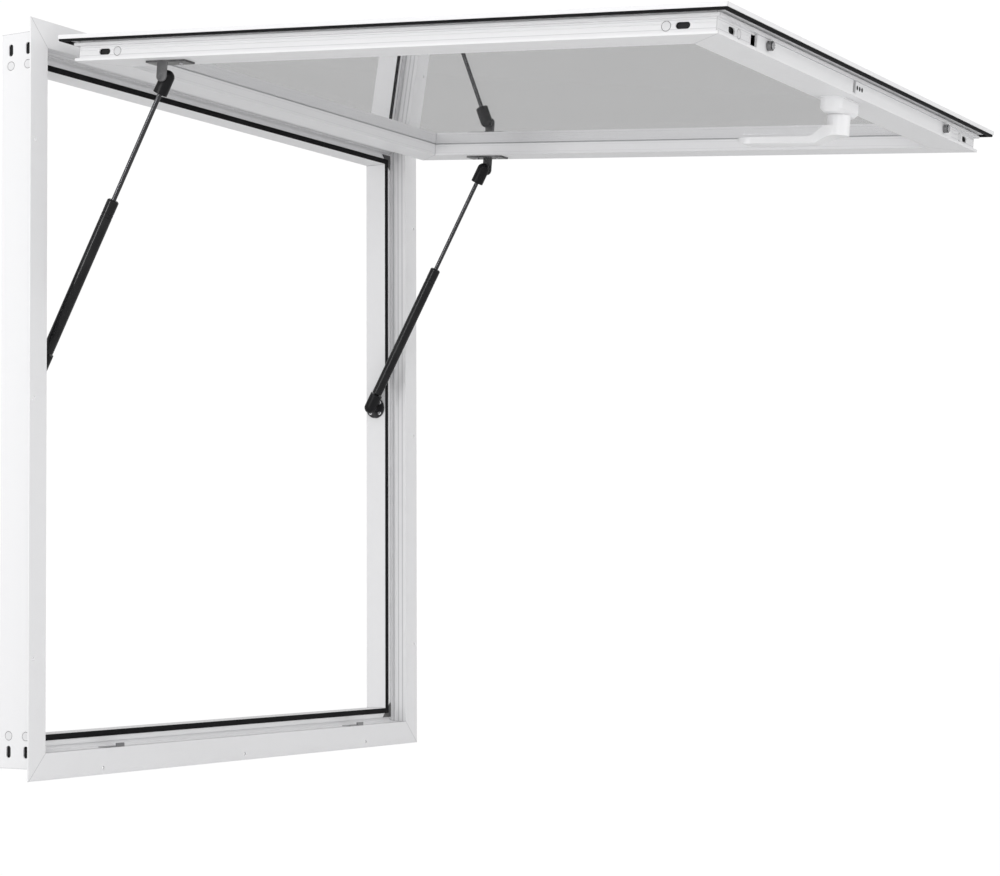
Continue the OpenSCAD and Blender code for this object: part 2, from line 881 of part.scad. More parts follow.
// Block behind the bars that joins them and carries the rack
module lock_bar_rack() {
    teeth = [for (k = [-6:1]) (k + 0.5) * tooth_pitch];
    color(BLACK) opened() difference() {
        at_inset(0, 0) translate([0, rack_y[1], 0]) rotate([90, 0, 0])
            linear_extrude(rack_y[1] - rack_y[0]) {
                translate([rack_x[0], i_bar + bar_t]) square([rack_x[1] - rack_x[0], 4.3]);
                translate([rack_x[1], i_bar + bar_t])
                    square([rack_x[2] - rack_x[1], i_rack - i_bar - bar_t]);
                for (x = teeth) translate([x, handle_inset - gear_pitch_r]) tooth(E);
            }
        lock_bar_screw_places() countersink(small_screw, 6);
    }
}

module lock_bar_screws() {
    color(BLACK) opened() lock_bar_screw_places() countersunk(small_screw, 6);
}

module roller_pins() {
    color(STEEL) opened()
        for (hand = [-1, 1]) at_roller(hand) difference() {
            union() {
                rod_z(pin_r, [i_pin_tip, i_bar + bar_t]);
                rod_z(pin_head_r, [i_pin_tip, i_pin_tip + 1]);
            }
            span([-pin_head_r, pin_head_r], [-0.5, 0.5], [i_pin_tip - E, i_pin_tip + 0.6]);
        }
}

module roller(hand) {
    color(STEEL) opened() at_roller(hand) difference() {
        rod_z(roller_r, [i_pin_tip + 1 + roller_gap, i_bar - roller_gap]);
        rod_z(pin_r + run_gap, [i_pin_tip, i_bar]);
    }
}

module roller_left() { roller(-1); }
module roller_right() { roller(1); }

// ---------------------------------------------------------------- gas struts

high_now = opened_yz(high_y, high_z);
reach_y = high_now[0] - strut_low_y;
reach_z = high_now[1] - low_z;
strut_len = norm([reach_y, reach_z]);
strut_tilt = -atan2(reach_y, reach_z);

// Flips what is drawn with +X outboard onto the left or the right side
module handed(hand) {
    mirror([hand < 0 ? 1 : 0, 0, 0]) children();
}

// Along the strut: the lower ball is at the origin and the upper one at strut_len on +Z
module on_strut(hand) {
    handed(hand) translate([strut_x, strut_low_y, low_z]) rotate([strut_tilt, 0, 0]) children();
}

module lower_screw_places(hand) {
    handed(hand) translate([frame_w / 2 - i_leg - bracket_t, strut_low_y, low_z])
        for (turn = [45:90:315])
            rotate([turn, 0, 0]) translate([0, lower_screw_r, 0]) rotate([0, -90, 0]) children();
}

module strut_lower_bracket(hand) {
    wall = frame_w / 2 - i_leg;
    color(BLACK) difference() {
        handed(hand) translate([0, strut_low_y, low_z])
            rod_x(lower_plate_r, [wall - bracket_t, wall]);
        handed(hand) translate([0, strut_low_y, low_z]) rod_x(stud_r, [wall - bracket_t - E, wall + E]);
        lower_screw_places(hand) rod_z(pan_screw[1], [-8, E]);
    }
}

module strut_lower_bracket_left() { strut_lower_bracket(-1); }
module strut_lower_bracket_right() { strut_lower_bracket(1); }

// Each stud ends just short of its socket: the linkage is left open here
module strut_lower_studs() {
    wall = frame_w / 2 - i_leg;
    color(STEEL)
        for (hand = [-1, 1]) handed(hand) translate([0, strut_low_y, low_z]) {
            rod_x(stud_r, [wall - bracket_t, wall]);
            rod_x(ball_r, [strut_x + socket_flat + 0.4, wall - bracket_t]);
        }
}

module strut_lower_screws() {
    color(STEEL)
        for (hand = [-1, 1]) lower_screw_places(hand) pan_head(pan_screw, 8);
}

module upper_screw_places(hand) {
    handed(hand) translate([0, y_sash + bracket_t, high_z - upper_plate_shift])
        for (z = [-1, 1])
            translate([tab_out() - upper_plate[0] / 2, 0, z * upper_screw_x])
                rotate([-90, 0, 0]) children();
}

// Outboard face of the bracket's tab
function tab_out() = strut_x + socket_flat + 2.5 + bracket_t;

module strut_upper_bracket(hand) {
    color(BLACK) opened() difference() {
        handed(hand) {
            translate([tab_out() - upper_plate[0] / 2, y_sash, high_z - upper_plate_shift])
                rotate([-90, 0, 0]) linear_extrude(bracket_t) upper_plate_shape();
            span([tab_out() - bracket_t, tab_out()], [y_sash, high_y],
                [high_z - tab_w / 2, high_z + tab_w / 2]);
            translate([0, high_y, high_z]) rod_x(tab_w / 2, [tab_out() - bracket_t, tab_out()]);
        }
        handed(hand) translate([0, high_y, high_z])
            rod_x(stud_r, [tab_out() - bracket_t - E, tab_out() + E]);
        upper_screw_places(hand) rod_z(pan_screw[1], [-8, E]);
    }
}

// Long plate whose ends are blunt arcs
module upper_plate_shape() {
    w = upper_plate[0];
    l = upper_plate[1];
    r = 22;
    intersection() {
        square([w, l], center = true);
        translate([0, l / 2 - r]) circle(r = r, $fn = 96);
        translate([0, r - l / 2]) circle(r = r, $fn = 96);
    }
    square([w, l - 2 * (r - sqrt(r * r - w * w / 4)) - 0.01], center = true);
}

module strut_upper_bracket_left() { strut_upper_bracket(-1); }
module strut_upper_bracket_right() { strut_upper_bracket(1); }

module strut_upper_studs() {
    color(STEEL) opened()
        for (hand = [-1, 1]) handed(hand) translate([0, high_y, high_z]) {
            translate([strut_x, 0, 0]) rotate([0, 90, 0]) rotate_extrude() intersection() {
                union() {
                    circle(r = ball_r);
                    square([stud_r, tab_out() - strut_x]);
                }
                translate([0, -ball_r - E]) square([ball_r + E, BIG]);
            }
        }
}

module strut_upper_screws() {
    color(STEEL) opened()
        for (hand = [-1, 1]) upper_screw_places(hand) pan_head(pan_screw, 8);
}

// Ball socket: a round-ended cylinder, cut flat on its outboard side
module socket_body() {
    intersection() {
        union() {
            sphere(r = socket_r);
            rod_z(socket_r, [0, socket_len]);
        }
        span([-socket_r, socket_flat], [-socket_r, socket_r], [-socket_r, socket_len]);
    }
}

module strut_lower_socket(hand) {
    color(BLACK) on_strut(hand) difference() {
        socket_body();
        rod_x(ball_r + move_gap, [-4, socket_flat + E]);
        rod_z(4, [14, socket_len + E]);
    }
}

module strut_lower_socket_left() { strut_lower_socket(-1); }
module strut_lower_socket_right() { strut_lower_socket(1); }

// Tube with its closed end screwed into the lower socket, and the rod's guide rolled into its top
module strut_tube(hand) {
    r = tube_d / 2;
    cap = tube_top - cap_len;
    color(BLACK) on_strut(hand) difference() {
        union() {
            rod_z(r, [tube_start, cap]);
            rod_z(r - 0.5, [cap, cap + 1]);
            rod_z(r, [cap + 1, cap + 5]);
            rod_z(r - 0.5, [cap + 5, cap + 6]);
            rod_z(r, [cap + 6, tube_top - 1.5]);
            translate([0, 0, tube_top - 1.5]) cylinder(h = 1.5, r1 = r, r2 = r - 1.5);
            rod_z(4, [14, tube_start]);
        }
        rod_z(r - tube_wall, [tube_start + 4, tube_top - 12]);
        rod_z(rod_d / 2 + run_gap, [tube_top - 13, tube_top + E]);
    }
}

module strut_tube_left() { strut_tube(-1); }
module strut_tube_right() { strut_tube(1); }

function piston_at() = tube_top - 12 - 20;

module strut_rod(hand) {
    color(STEEL) on_strut(hand)
        rod_z(rod_d / 2, [piston_at() - 2, strut_len - 12]);
}

module strut_rod_left() { strut_rod(-1); }
module strut_rod_right() { strut_rod(1); }

module strut_piston(hand) {
    color(ZINC) on_strut(hand) difference() {
        rod_z(tube_d / 2 - tube_wall - run_gap, [piston_at() - piston_len, piston_at()]);
        rod_z(rod_d / 2, [piston_at() - 2, piston_at() + E]);
    }
}

module strut_piston_left() { strut_piston(-1); }
module strut_piston_right() { strut_piston(1); }

module strut_upper_socket(hand) {
    color(BLACK) on_strut(hand) translate([0, 0, strut_len]) mirror([0, 0, 1]) difference() {
        translate([0, 0, 0]) socket_body();
        sphere(r = ball_r + move_gap);
        rod_x(ball_r + move_gap, [0, socket_flat + E]);
        rod_z(rod_d / 2, [12, socket_len + E]);
    }
}

module strut_upper_socket_left() { strut_upper_socket(-1); }
module strut_upper_socket_right() { strut_upper_socket(1); }

// ---------------------------------------------------------------- nodes

frame_head();
frame_sill();
frame_jamb_left();
frame_jamb_right();
frame_corner_keys();
frame_corner_plugs();
frame_gasket();
rebate_corner_pads();
keeper_left();
keeper_right();
keeper_screws();
hinge_frame_leaves();
hinge_pins();
hinge_frame_screws();
strut_lower_bracket_left();
strut_lower_bracket_right();
strut_lower_studs();
strut_lower_screws();
sash_top_rail();
sash_bottom_rail();
sash_stile_left();
sash_stile_right();
sash_corner_keys();
sash_corner_plugs();
sash_lip_gasket();
glass_pane();
glazing_beads();
glazing_seal_outer();
glazing_seal_inner();
setting_blocks();
hinge_sash_leaves();
hinge_sash_screws();
strut_upper_bracket_left();
strut_upper_bracket_right();
strut_upper_studs();
strut_upper_screws();
handle_base_plate();
handle_base_screws();
handle_rose();
handle_lever();
handle_spindle();
drive_gear();
lock_bar_left();
lock_bar_right();
lock_bar_rack();
lock_bar_screws();
roller_pins();
roller_left();
roller_right();
strut_rod_left();
strut_piston_left();
strut_upper_socket_left();
strut_rod_right();
strut_piston_right();
strut_upper_socket_right();
strut_tube_left();
strut_lower_socket_left();
strut_tube_right();
strut_lower_socket_right();
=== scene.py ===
"""Top-hung serving window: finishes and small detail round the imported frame, sash, struts and lock."""

import json
import math

import bmesh
import bpy
from mathutils import Matrix, Vector


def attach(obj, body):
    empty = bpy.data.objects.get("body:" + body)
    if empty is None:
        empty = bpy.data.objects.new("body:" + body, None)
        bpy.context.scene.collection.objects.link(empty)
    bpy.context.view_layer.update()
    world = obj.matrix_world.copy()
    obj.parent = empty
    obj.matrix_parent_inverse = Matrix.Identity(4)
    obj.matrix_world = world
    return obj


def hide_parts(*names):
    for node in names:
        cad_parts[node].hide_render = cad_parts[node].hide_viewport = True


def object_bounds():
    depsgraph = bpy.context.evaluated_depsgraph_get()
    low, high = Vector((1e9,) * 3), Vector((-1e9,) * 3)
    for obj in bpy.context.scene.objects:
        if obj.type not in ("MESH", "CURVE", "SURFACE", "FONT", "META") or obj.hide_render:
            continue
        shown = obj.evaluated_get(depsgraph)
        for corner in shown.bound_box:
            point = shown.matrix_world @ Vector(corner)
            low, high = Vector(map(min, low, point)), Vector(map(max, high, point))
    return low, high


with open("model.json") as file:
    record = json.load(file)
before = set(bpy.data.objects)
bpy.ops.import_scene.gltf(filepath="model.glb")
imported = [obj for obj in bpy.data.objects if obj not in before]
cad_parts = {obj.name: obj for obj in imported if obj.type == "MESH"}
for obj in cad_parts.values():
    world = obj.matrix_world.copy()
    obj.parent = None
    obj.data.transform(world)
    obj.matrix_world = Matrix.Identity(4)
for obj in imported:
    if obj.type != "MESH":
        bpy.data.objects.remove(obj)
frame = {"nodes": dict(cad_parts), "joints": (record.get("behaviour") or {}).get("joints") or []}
cad_low, cad_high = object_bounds()
NODES = frame["nodes"]

MM = 0.001
SASH_HINGE = next(joint for joint in frame["joints"] if joint["name"] == "sash_hinge")
# The sash is drawn open by this angle, about a line along X through this point.
OPEN_ANGLE = math.radians(SASH_HINGE["range_deg"][1])
HINGE_POINT = SASH_HINGE["pos_m"]
HALF_WIDTH = cad_high[0]

# Corners of a CAD node nearer than this are joined, and faces flatter than this are merged.
WELD_DISTANCE = 0.004 * MM
FLAT_ANGLE = math.radians(0.6)
# Edges over the first angle are shaded sharp, and edges over the second are eased.
SHARP_ANGLE = math.radians(35)
EASED_ANGLE = math.radians(30)
BEVEL_SEGMENTS = 2

# How bright the studio is to the eye, in a mirror, and as light on the window.
EYE_WHITE = 1.02
MIRROR_GREY = 0.53
ROOM_LIGHT = 0.77

# ------------------------------------------------------------------ shader groups


def new_group(name, inputs, outputs):
    tree = bpy.data.node_groups.new(name, "ShaderNodeTree")
    for label, kind, value in inputs:
        socket = tree.interface.new_socket(label, in_out="INPUT", socket_type=kind)
        if value is not None:
            socket.default_value = value
    for label, kind in outputs:
        tree.interface.new_socket(label, in_out="OUTPUT", socket_type=kind)
    return tree, tree.nodes.new("NodeGroupInput"), tree.nodes.new("NodeGroupOutput")


def math_node(tree, operation, a, b=None, clamp=False):
    node = tree.nodes.new("ShaderNodeMath")
    node.operation = operation
    node.use_clamp = clamp
    for i, value in enumerate((a, b)):
        if value is None:
            continue
        if isinstance(value, (int, float)):
            node.inputs[i].default_value = value
        else:
            tree.links.new(value, node.inputs[i])
    return node.outputs[0]


def mix_colours(tree, factor, first, second):
    node = tree.nodes.new("ShaderNodeMix")
    node.data_type = "RGBA"
    for socket, value in zip((node.inputs[0], node.inputs[6], node.inputs[7]), (factor, first, second)):
        if isinstance(value, (int, float, tuple)):
            socket.default_value = value
        else:
            tree.links.new(value, socket)
    return node.outputs[2]


def noise(tree, coordinates, scale, detail, rough=0.55):
    node = tree.nodes.new("ShaderNodeTexNoise")
    tree.links.new(coordinates, node.inputs["Vector"])
    for label, value in (("Scale", scale), ("Detail", detail), ("Roughness", rough)):
        if isinstance(value, (int, float)):
            node.inputs[label].default_value = value
        else:
            tree.links.new(value, node.inputs[label])
    return node.outputs["Fac"]


def object_coordinates(tree):
    return tree.nodes.new("ShaderNodeTexCoord").outputs["Object"]


def surface(tree, label):
    return tree.nodes.new("ShaderNodeNewGeometry").outputs[label]


def swung(tree, vector, angle, centre=(0, 0, 0)):
    """A vector turned about a line along X, as the sash turns about its hinge."""
    turn = tree.nodes.new("ShaderNodeVectorRotate")
    turn.rotation_type = "X_AXIS"
    turn.inputs["Center"].default_value = centre
    tree.links.new(vector, turn.inputs["Vector"])
    tree.links.new(angle, turn.inputs["Angle"])
    return turn.outputs["Vector"]


def axes_of(tree, vector):
    split = tree.nodes.new("ShaderNodeSeparateXYZ")
    tree.links.new(vector, split.inputs[0])
    return split.outputs


def mix_shaders(tree, factor, first, second):
    mix = tree.nodes.new("ShaderNodeMixShader")
    for socket, value in zip(mix.inputs, (factor, first, second)):
        tree.links.new(value, socket)
    return mix.outputs[0]


def ramp(tree, value, low, high):
    node = tree.nodes.new("ShaderNodeMapRange")
    tree.links.new(value, node.inputs["Value"])
    node.inputs["From Min"].default_value = low
    node.inputs["From Max"].default_value = high
    return node.outputs["Result"]


def make_edge_wear():
    """Lays the colour of rubbed metal or paint over the base, in patches along the edges."""
    tree, start, end = new_group(
        "EdgeWear",
        [
            ("Base Color", "NodeSocketColor", (0.8, 0.8, 0.8, 1)),
            ("Worn Color", "NodeSocketColor", (0.5, 0.5, 0.5, 1)),
            ("Amount", "NodeSocketFloat", 0.3),
            ("Patch Scale", "NodeSocketFloat", 40.0),
        ],
        [("Color", "NodeSocketColor")],
    )
    edge = ramp(tree, surface(tree, "Pointiness"), 0.52, 0.62)
    cloud = noise(tree, object_coordinates(tree), start.outputs["Patch Scale"], 5)
    patch = ramp(tree, cloud, 0.45, 0.7)
    mask = math_node(tree, "MULTIPLY", edge, patch, True)
    mask = math_node(tree, "MULTIPLY", mask, start.outputs["Amount"], True)
    colour = mix_colours(tree, mask, start.outputs["Base Color"], start.outputs["Worn Color"])
    tree.links.new(colour, end.inputs["Color"])
    return tree


def make_surface_dust():
    """A faint uneven film that lies thickest on faces that look up."""
    tree, start, end = new_group(
        "SurfaceDust",
        [
            ("Color", "NodeSocketColor", (0.8, 0.8, 0.8, 1)),
            ("Roughness", "NodeSocketFloat", 0.4),
            ("Dust Color", "NodeSocketColor", (0.6, 0.58, 0.55, 1)),
            ("Amount", "NodeSocketFloat", 0.1),
        ],
        [("Color", "NodeSocketColor"), ("Roughness", "NodeSocketFloat")],
    )
    up = ramp(tree, axes_of(tree, surface(tree, "Normal"))["Z"], -0.2, 1.0)
    film = ramp(tree, noise(tree, object_coordinates(tree), 9.0, 6, 0.65), 0.35, 0.75)
    mask = math_node(tree, "MULTIPLY", math_node(tree, "ADD", up, 0.25, True), film, True)
    mask = math_node(tree, "MULTIPLY", mask, start.outputs["Amount"], True)
    colour = mix_colours(tree, mask, start.outputs["Color"], start.outputs["Dust Color"])
    rough = math_node(tree, "ADD", start.outputs["Roughness"], math_node(tree, "MULTIPLY", mask, 0.6), True)
    tree.links.new(colour, end.inputs["Color"])
    tree.links.new(rough, end.inputs["Roughness"])
    return tree


def make_drawn_lines():
    """Fine lines that run the way a profile was extruded or a bar was drawn or brushed."""
    tree, start, end = new_group(
        "DrawnLines",
        [
            ("Direction Scale", "NodeSocketVector", (6.0, 900.0, 900.0)),
            ("Tilt", "NodeSocketFloat", 0.0),
            ("Depth", "NodeSocketFloat", 0.15),
        ],
        [("Normal", "NodeSocketVector")],
    )
    stretch = tree.nodes.new("ShaderNodeVectorMath")
    stretch.operation = "MULTIPLY"
    tilted = swung(tree, object_coordinates(tree), start.outputs["Tilt"])
    tree.links.new(tilted, stretch.inputs[0])
    tree.links.new(start.outputs["Direction Scale"], stretch.inputs[1])
    lines = noise(tree, stretch.outputs[0], 1.0, 2, 0.5)
    bump = tree.nodes.new("ShaderNodeBump")
    bump.inputs["Distance"].default_value = 0.1 * MM
    tree.links.new(start.outputs["Depth"], bump.inputs["Strength"])
    tree.links.new(lines, bump.inputs["Height"])
    tree.links.new(bump.outputs["Normal"], end.inputs["Normal"])
    return tree


def make_fine_grain():
    """Orange peel of a sprayed coat, or the pebbling of moulded plastic and rubber."""
    tree, start, end = new_group(
        "FineGrain",
        [
            ("Scale", "NodeSocketFloat", 900.0),
            ("Depth", "NodeSocketFloat", 0.1),
            ("Variation", "NodeSocketFloat", 0.05),
            ("Roughness", "NodeSocketFloat", 0.4),
            ("Normal", "NodeSocketVector", None),
        ],
        [("Normal", "NodeSocketVector"), ("Roughness", "NodeSocketFloat")],
    )
    where = object_coordinates(tree)
    bump = tree.nodes.new("ShaderNodeBump")
    bump.inputs["Distance"].default_value = 0.2 * MM
    tree.links.new(start.outputs["Depth"], bump.inputs["Strength"])
    tree.links.new(noise(tree, where, start.outputs["Scale"], 2), bump.inputs["Height"])
    tree.links.new(start.outputs["Normal"], bump.inputs["Normal"])
    cloud = math_node(tree, "SUBTRACT", noise(tree, where, 14.0, 4), 0.5)
    change = math_node(tree, "MULTIPLY", cloud, start.outputs["Variation"])
    rough = math_node(tree, "ADD", start.outputs["Roughness"], change, True)
    tree.links.new(bump.outputs["Normal"], end.inputs["Normal"])
    tree.links.new(rough, end.inputs["Roughness"])
    return tree


def make_groove_shade_lines():
    """Thin lines of painted shade along the sides of a profile, at three depths of the shut window, where
    shade falls in the finest grooves, steps and corners, which aren't cut; and a dark joint line at each
    mitre."""
    mitre_half_width, mitre_amount = 0.7 * MM, 0.5
    side_tilt = 0.3
    tree, start, end = new_group(
        "SeamLines",
        [
            ("Color", "NodeSocketColor", (0.8, 0.8, 0.8, 1)),
            ("Line Color", "NodeSocketColor", (0.35, 0.35, 0.36, 1)),
            ("Opening", "NodeSocketFloat", 0.0),
            ("First", "NodeSocketFloat", 0.0),
            ("Second", "NodeSocketFloat", 0.0),
            ("Third", "NodeSocketFloat", 0.0),
            ("Half Width", "NodeSocketFloat", 0.35 * MM),
            ("Amount", "NodeSocketFloat", 0.5),
            ("Reach", "NodeSocketFloat", HALF_WIDTH - 25 * MM),
        ],
        [("Color", "NodeSocketColor")],
    )
    opening = start.outputs["Opening"]
    place = axes_of(tree, swung(tree, object_coordinates(tree), opening, HINGE_POINT))
    normal = axes_of(tree, swung(tree, surface(tree, "Normal"), opening))
    facing = math_node(tree, "ABSOLUTE", normal["Y"])
    # Painted shade: a side of the profile takes a dark line where shade falls in a groove or step.
    groove_shade = math_node(tree, "LESS_THAN", facing, side_tilt)
    nearest = None
    for label in ("First", "Second", "Third"):
        gap = math_node(tree, "SUBTRACT", place["Y"], start.outputs[label])
        gap = math_node(tree, "ABSOLUTE", gap)
        nearest = gap if nearest is None else math_node(tree, "MINIMUM", nearest, gap)
    on_line = math_node(tree, "LESS_THAN", nearest, start.outputs["Half Width"])
    across, up = (math_node(tree, "ABSOLUTE", place[axis]) for axis in "XZ")
    furthest = math_node(tree, "MAXIMUM", across, up)
    inside = math_node(tree, "LESS_THAN", furthest, start.outputs["Reach"])
    for factor in (on_line, inside, start.outputs["Amount"]):
        groove_shade = math_node(tree, "MULTIPLY", groove_shade, factor)
    gap = math_node(tree, "ABSOLUTE", math_node(tree, "SUBTRACT", across, up))
    mitre = math_node(tree, "LESS_THAN", gap, mitre_half_width)
    mitre = math_node(tree, "MULTIPLY", mitre, mitre_amount)
    mask = math_node(tree, "MAXIMUM", groove_shade, mitre)
    colour = mix_colours(tree, mask, start.outputs["Color"], start.outputs["Line Color"])
    tree.links.new(colour, end.inputs["Color"])
    return tree


def make_rim_shade():
    """Darkens the eased rim of a plug with painted shade, for the shade in the gap round it: the faces
    that look along none of the three axes.
    """
    tree, start, end = new_group(
        "RimShade",
        [
            ("Color", "NodeSocketColor", (0.8, 0.8, 0.8, 1)),
            ("Rim Color", "NodeSocketColor", (0.1, 0.1, 0.1, 1)),
            ("Opening", "NodeSocketFloat", 0.0),
        ],
        [("Color", "NodeSocketColor")],
    )
    normal = axes_of(tree, swung(tree, surface(tree, "Normal"), start.outputs["Opening"]))
    along_x, along_y, along_z = (math_node(tree, "ABSOLUTE", normal[axis]) for axis in "XYZ")
    largest = math_node(tree, "MAXIMUM", math_node(tree, "MAXIMUM", along_x, along_y), along_z)
    rim_shade = ramp(tree, largest, 0.985, 0.93)
    colour = mix_colours(tree, rim_shade, start.outputs["Color"], start.outputs["Rim Color"])
    tree.links.new(colour, end.inputs["Color"])
    return tree


EDGE_WEAR = make_edge_wear()
RIM_SHADE = make_rim_shade()
GROOVE_SHADE_AND_MITRE_LINES = make_groove_shade_lines()
SURFACE_DUST = make_surface_dust()
DRAWN_LINES = make_drawn_lines()
FINE_GRAIN = make_fine_grain()

# ------------------------------------------------------------------ materials


def new_material(name):
    material = bpy.data.materials.new(name)
    material.use_nodes = True
    tree = material.node_tree
    return material, tree, tree.nodes["Principled BSDF"]


def place_group(tree, group, **values):
    """Sets a shader group in a material. A value is a number, a colour or another node's output."""
    node = tree.nodes.new("ShaderNodeGroup")
    node.node_tree = group
    for label, value in values.items():
        socket = node.inputs[label.replace("_", " ")]
        if isinstance(value, bpy.types.NodeSocket):
            tree.links.new(value, socket)
        else:
            socket.default_value = value
    return node


COAT_ROUGH = 0.12


def finish_of(
    name,
    colour,
    rough,
    metal=0.0,
    worn=None,
    wear=0.0,
    dust=0.0,
    grain=(900.0, 0.1),
    lines=None,
    tilt=0.0,
    coat=0.0,
    specular=0.5,
    groove_shade_depths=None,
    groove_shade_look=None,
    opening=0.0,
    rim_shade=None,
):
    """A finish from the shared groups. Its colour is the paint, worn at the edges, with lines of painted
    groove shade and dark mitre joint lines or a rim of painted shade, under dust. Its relief is drawn
    lines under a fine grain."""
    material, tree, shader = new_material(name)
    shader.inputs["Metallic"].default_value = metal
    shader.inputs["Specular IOR Level"].default_value = specular
    shader.inputs["Coat Weight"].default_value = coat
    shader.inputs["Coat Roughness"].default_value = COAT_ROUGH
    wear_node = place_group(
        tree,
        EDGE_WEAR,
        Base_Color=(*colour, 1),
        Worn_Color=(*(worn or colour), 1),
        Amount=wear,
    )
    scale, depth = grain
    grain_node = place_group(tree, FINE_GRAIN, Scale=scale, Depth=depth, Roughness=rough)
    if lines:
        line_node = place_group(tree, DRAWN_LINES, Direction_Scale=lines, Tilt=tilt)
        tree.links.new(line_node.outputs["Normal"], grain_node.inputs["Normal"])
    paint = wear_node.outputs["Color"]
    # Lines of painted groove shade, and dark joint lines at the mitres.
    if groove_shade_depths:
        first, second, third = (depth * MM for depth in groove_shade_depths)
        half_width, amount = groove_shade_look
        groove_shade_node = place_group(
            tree,
            GROOVE_SHADE_AND_MITRE_LINES,
            Color=paint,
            Opening=opening,
            First=first,
            Second=second,
            Third=third,
            Half_Width=half_width * MM,
            Amount=amount,
        )
        paint = groove_shade_node.outputs["Color"]
    # Painted shade on a plug's eased rim.
    if rim_shade:
        rim_shade_node = place_group(tree, RIM_SHADE, Color=paint, Rim_Color=(*rim_shade, 1), Opening=opening)
        paint = rim_shade_node.outputs["Color"]
    dust_node = place_group(
        tree,
        SURFACE_DUST,
        Color=paint,
        Roughness=grain_node.outputs["Roughness"],
        Amount=dust,
    )
    tree.links.new(dust_node.outputs["Color"], shader.inputs["Base Color"])
    tree.links.new(dust_node.outputs["Roughness"], shader.inputs["Roughness"])
    tree.links.new(grain_node.outputs["Normal"], shader.inputs["Normal"])
    return material


WHITE = (0.78, 0.78, 0.79)
WHITE_WORN = (0.66, 0.66, 0.67)
PLUG_WHITE = (0.7, 0.7, 0.71)
# Painted shade for the gap round a plug, laid on the plug's eased rim.
PLUG_RIM_SHADE = (0.12, 0.12, 0.12)
# How finely the drawn lines vary along X, Y and Z.
ALONG_X = (5.0, 420.0, 420.0)
ALONG_Z = (420.0, 420.0, 5.0)
# Depths of the painted groove shade lines behind the flange's back face, with the sash shut, in
# millimetres.
FRAME_GROOVE_SHADE_DEPTHS = (4.0, 11.0, 18.2)
SASH_GROOVE_SHADE_DEPTHS = (3.4, 13.2, 16.2)
BEAD_GROOVE_SHADE_DEPTHS = (7.0, 7.0, 16.5)
# Half the width of a painted groove shade line in millimetres, and how dark it is.
# The jambs' lines are the widest and darkest: painted shade in their rebates.
JAMB_SHADE_LINE = (0.9, 0.5)
RAIL_SHADE_LINE = (0.7, 0.2)
SASH_SHADE_LINE = (0.35, 0.4)
BEAD_SHADE_LINE = (0.35, 0.16)


def powder_coat(name, lines, tilt=0.0, groove_shade_depths=None, groove_shade_look=None, opening=0.0):
    return finish_of(
        name,
        WHITE,
        0.4,
        wear=0.15,
        worn=WHITE_WORN,
        dust=0.04,
        lines=lines,
        tilt=tilt,
        groove_shade_depths=groove_shade_depths,
        groove_shade_look=groove_shade_look,
        opening=opening,
        specular=0.4,
    )


POWDER_RAIL = powder_coat("powder_coat_rails", ALONG_X)
# Coats with lines of painted groove shade and dark mitre joint lines over the white paint.
POWDER_FRAME_RAIL_SHADED = powder_coat(
    "powder_coat_frame_rails", ALONG_X, groove_shade_depths=FRAME_GROOVE_SHADE_DEPTHS, groove_shade_look=RAIL_SHADE_LINE
)
POWDER_SASH_RAIL_SHADED = powder_coat(
    "powder_coat_sash_rails", ALONG_X, groove_shade_depths=SASH_GROOVE_SHADE_DEPTHS, groove_shade_look=SASH_SHADE_LINE, opening=OPEN_ANGLE
)
POWDER_JAMB_SHADED = powder_coat("powder_coat_jambs", ALONG_Z, groove_shade_depths=FRAME_GROOVE_SHADE_DEPTHS, groove_shade_look=JAMB_SHADE_LINE)
POWDER_STILE_SHADED = powder_coat(
    "powder_coat_stiles",
    ALONG_Z,
    tilt=OPEN_ANGLE,
    groove_shade_depths=SASH_GROOVE_SHADE_DEPTHS,
    groove_shade_look=SASH_SHADE_LINE,
    opening=OPEN_ANGLE,
)
POWDER_BEAD_SHADED = powder_coat(
    "powder_coat_beads", ALONG_X, groove_shade_depths=BEAD_GROOVE_SHADE_DEPTHS, groove_shade_look=BEAD_SHADE_LINE, opening=OPEN_ANGLE
)
HANDLE_PAINT = finish_of(
    "handle_paint", (0.8, 0.8, 0.81), 0.3, wear=0.1, worn=WHITE_WORN, grain=(500.0, 0.06), coat=0.2
)
RUBBER = finish_of(
    "gasket_rubber", (0.008, 0.008, 0.009), 0.6, dust=0.02, grain=(1400.0, 0.25), specular=0.08
)
SILICONE = finish_of("glazing_silicone", (0.62, 0.63, 0.64), 0.5, dust=0.05, grain=(800.0, 0.15))
PLASTIC = finish_of(
    "moulded_black",
    (0.009, 0.009, 0.01),
    0.32,
    wear=0.3,
    worn=(0.07, 0.07, 0.07),
    grain=(1100.0, 0.12),
    specular=0.2,
)
PAD_PLASTIC = finish_of(
    "corner_pad_plastic",
    (0.05, 0.05, 0.052),
    0.6,
    wear=0.8,
    worn=(0.3, 0.3, 0.3),
    dust=0.5,
    grain=(300.0, 0.6),
)
TUBE_PAINT = finish_of(
    "strut_black_paint",
    (0.008, 0.008, 0.009),
    0.24,
    wear=0.3,
    worn=(0.08, 0.08, 0.08),
    grain=(600.0, 0.05),
    coat=0.05,
    specular=0.3,
)
BRACKET_PAINT = finish_of(
    "bracket_black_paint",
    (0.02, 0.02, 0.022),
    0.34,
    wear=0.6,
    worn=(0.25, 0.25, 0.26),
    grain=(700.0, 0.15),
    specular=0.35,
)
ROD_STEEL = finish_of(
    "ground_rod_steel",
    (0.09, 0.09, 0.095),
    0.2,
    metal=1.0,
    wear=0.2,
    worn=(0.3, 0.3, 0.31),
    grain=(60.0, 0.0),
)
